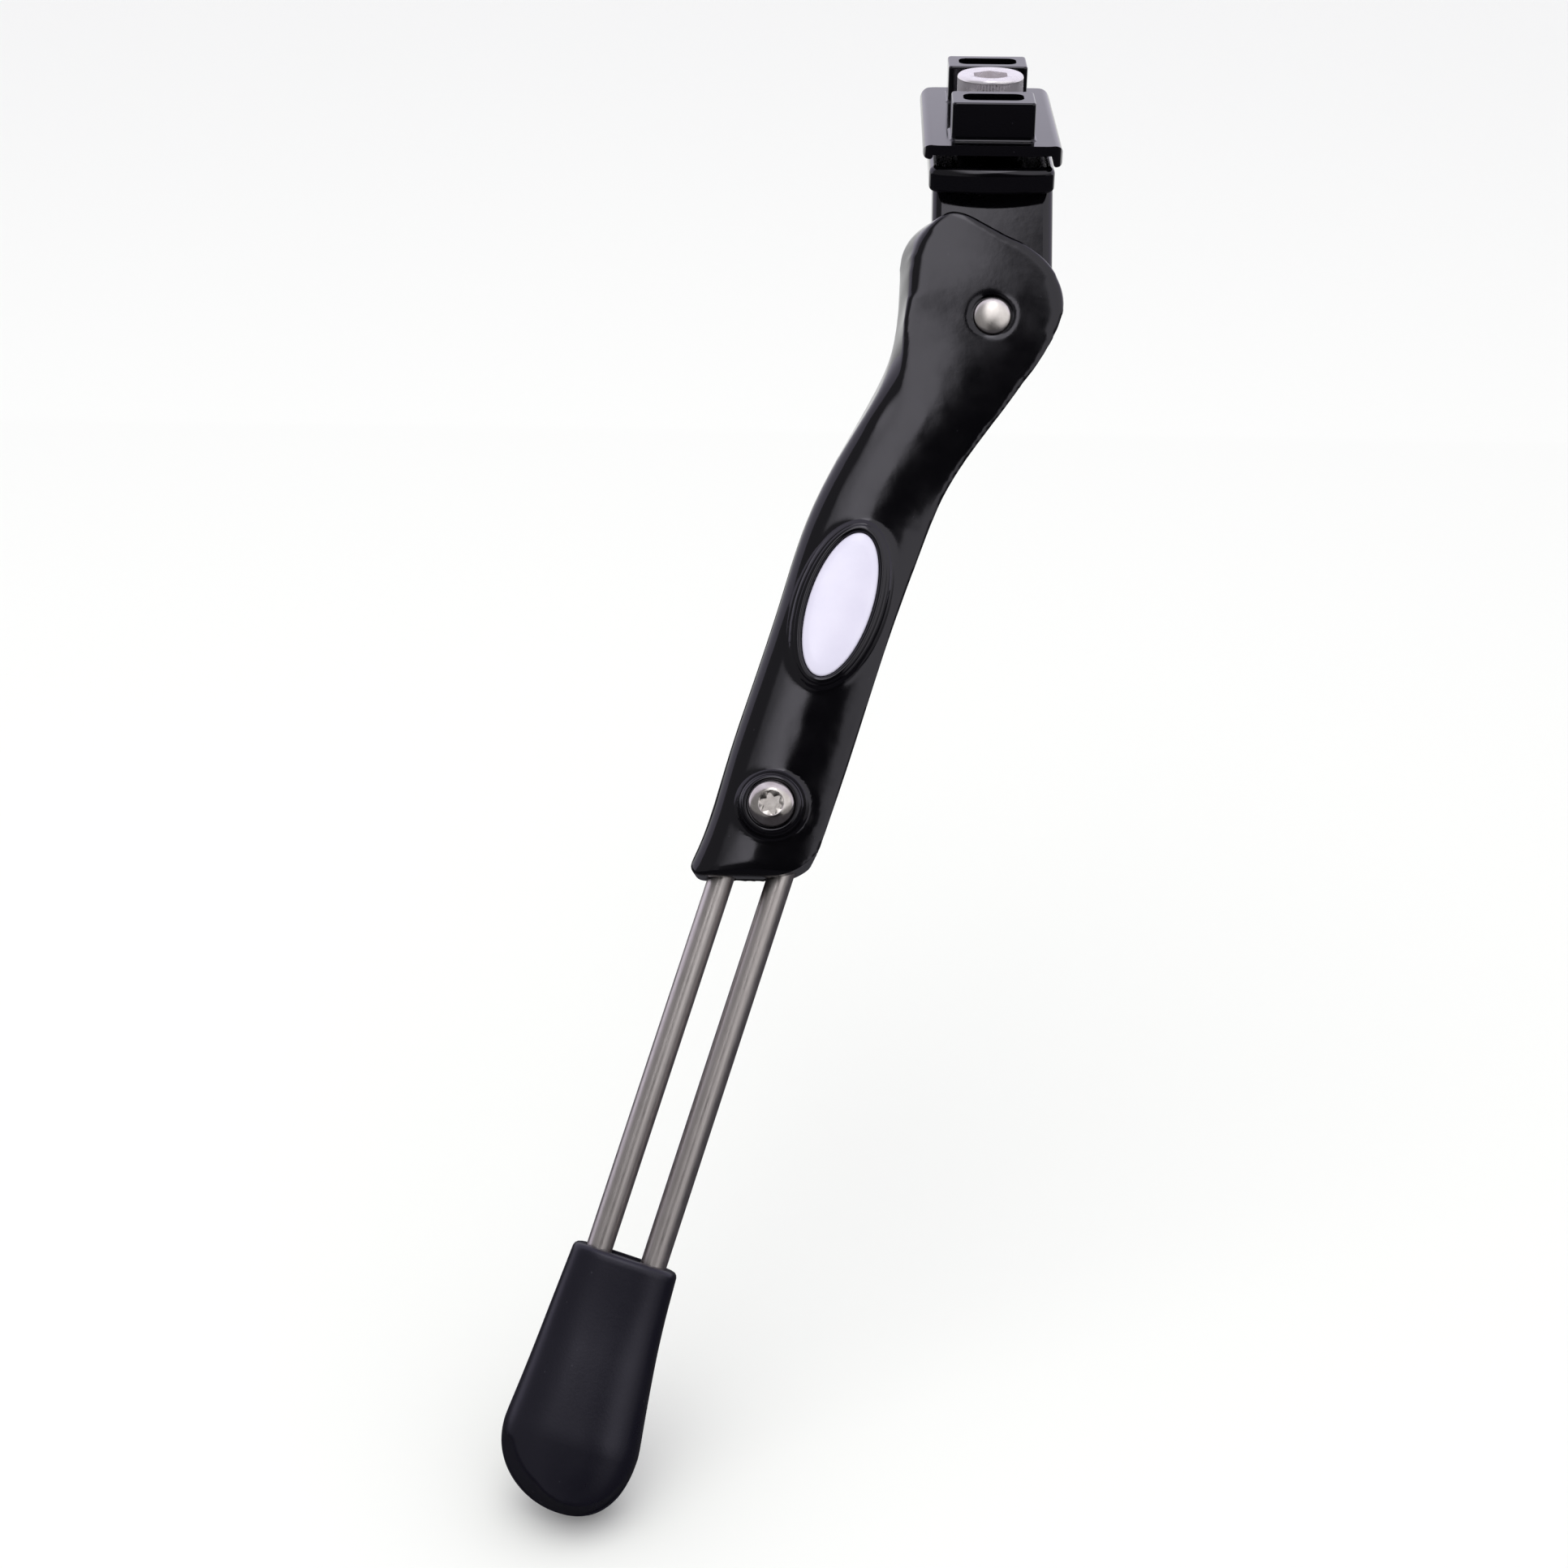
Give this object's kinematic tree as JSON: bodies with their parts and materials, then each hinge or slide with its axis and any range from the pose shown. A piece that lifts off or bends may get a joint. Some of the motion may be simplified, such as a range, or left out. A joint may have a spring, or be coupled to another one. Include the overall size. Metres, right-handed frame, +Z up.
{
  "type": "bicycle kickstand",
  "caption": "Adjustable bicycle kickstand: clamp plate and base for the chainstays, bent folding leg housing, sliding hairpin rod and rubber foot.",
  "frame": {"origin": "on the clamp bolt's axis, at the base's seat under the chainstays", "axes": "+Z up, +X towards the bicycle's rear, -Y out to the bicycle's left, with the leg down"},
  "size_m": [0.1231, 0.2356, 0.2771],
  "materials": {
    "painted_alloy": "gloss black paint on cast alloy",
    "painted_steel": "gloss black paint on pressed steel",
    "bolt_steel": "bright zinc plate",
    "pin_steel": "polished",
    "rod_steel": "drawn bright bar",
    "foot_rubber": "matt moulded rubber",
    "white_enamel": "white gloss",
    "block_steel": "plain machined",
    "spring_steel": "drawn wire"
  },
  "bodies": {
    "mount": {"mount_base": "painted_alloy"},
    "top_clamp": {"top_plate": "painted_steel"},
    "bolt": {"clamp_bolt": "bolt_steel"},
    "leg": {"leg_housing": "painted_alloy", "pivot_pin": "pin_steel", "badge": "white_enamel", "detent_spring": "spring_steel"},
    "plunger": {"detent_plunger": "block_steel"},
    "extension": {"leg_rod": "rod_steel", "rubber_foot": "foot_rubber"},
    "screw": {"clamp_screw": "bolt_steel"},
    "block": {"clamp_block": "block_steel"}
  },
  "joints": [
    {"name": "top_clamp_lift", "type": "slide", "parent": "mount", "child": "top_clamp", "axis": [0, 0, 1], "range_m": [0, 0.018]},
    {"name": "bolt_turn", "type": "hinge", "parent": "top_clamp", "child": "bolt", "pos_m": [0, 0, 0.0053], "axis": [0, 0, 1], "range_deg": [0, 4320.1]},
    {"name": "leg_swing", "type": "hinge", "parent": "mount", "child": "leg", "pos_m": [0.0005, -0.0383, -0.036], "axis": [0, -0.809, 0.5878], "range_deg": [0, 105]},
    {"name": "plunger_slide", "type": "slide", "parent": "leg", "child": "plunger", "axis": [0.4226, 0.5327, 0.7332], "range_m": [0, 0.0009], "stiffness_N_per_m": 600, "springref_m": 0.0055, "deforming": ["detent_spring"]},
    {"name": "leg_extension", "type": "slide", "parent": "leg", "child": "extension", "axis": [-0.288, -0.5629, -0.7747], "range_m": [-0.045, 0.01]},
    {"name": "screw_turn", "type": "hinge", "parent": "leg", "child": "screw", "pos_m": [-0.04807, -0.10607, -0.12928], "axis": [0, -0.809, 0.5878], "range_deg": [0, 288.1]},
    {"name": "block_slide", "type": "slide", "parent": "leg", "child": "block", "axis": [0, -0.809, 0.5878], "range_m": [-0.0008, 0]}
  ],
  "couplings": [
    {"joint": "bolt_turn", "follows": "top_clamp_lift", "rad_per_m": 4188.8},
    {"joint": "screw_turn", "follows": "block_slide", "rad_per_m": -6283.2}
  ]
}
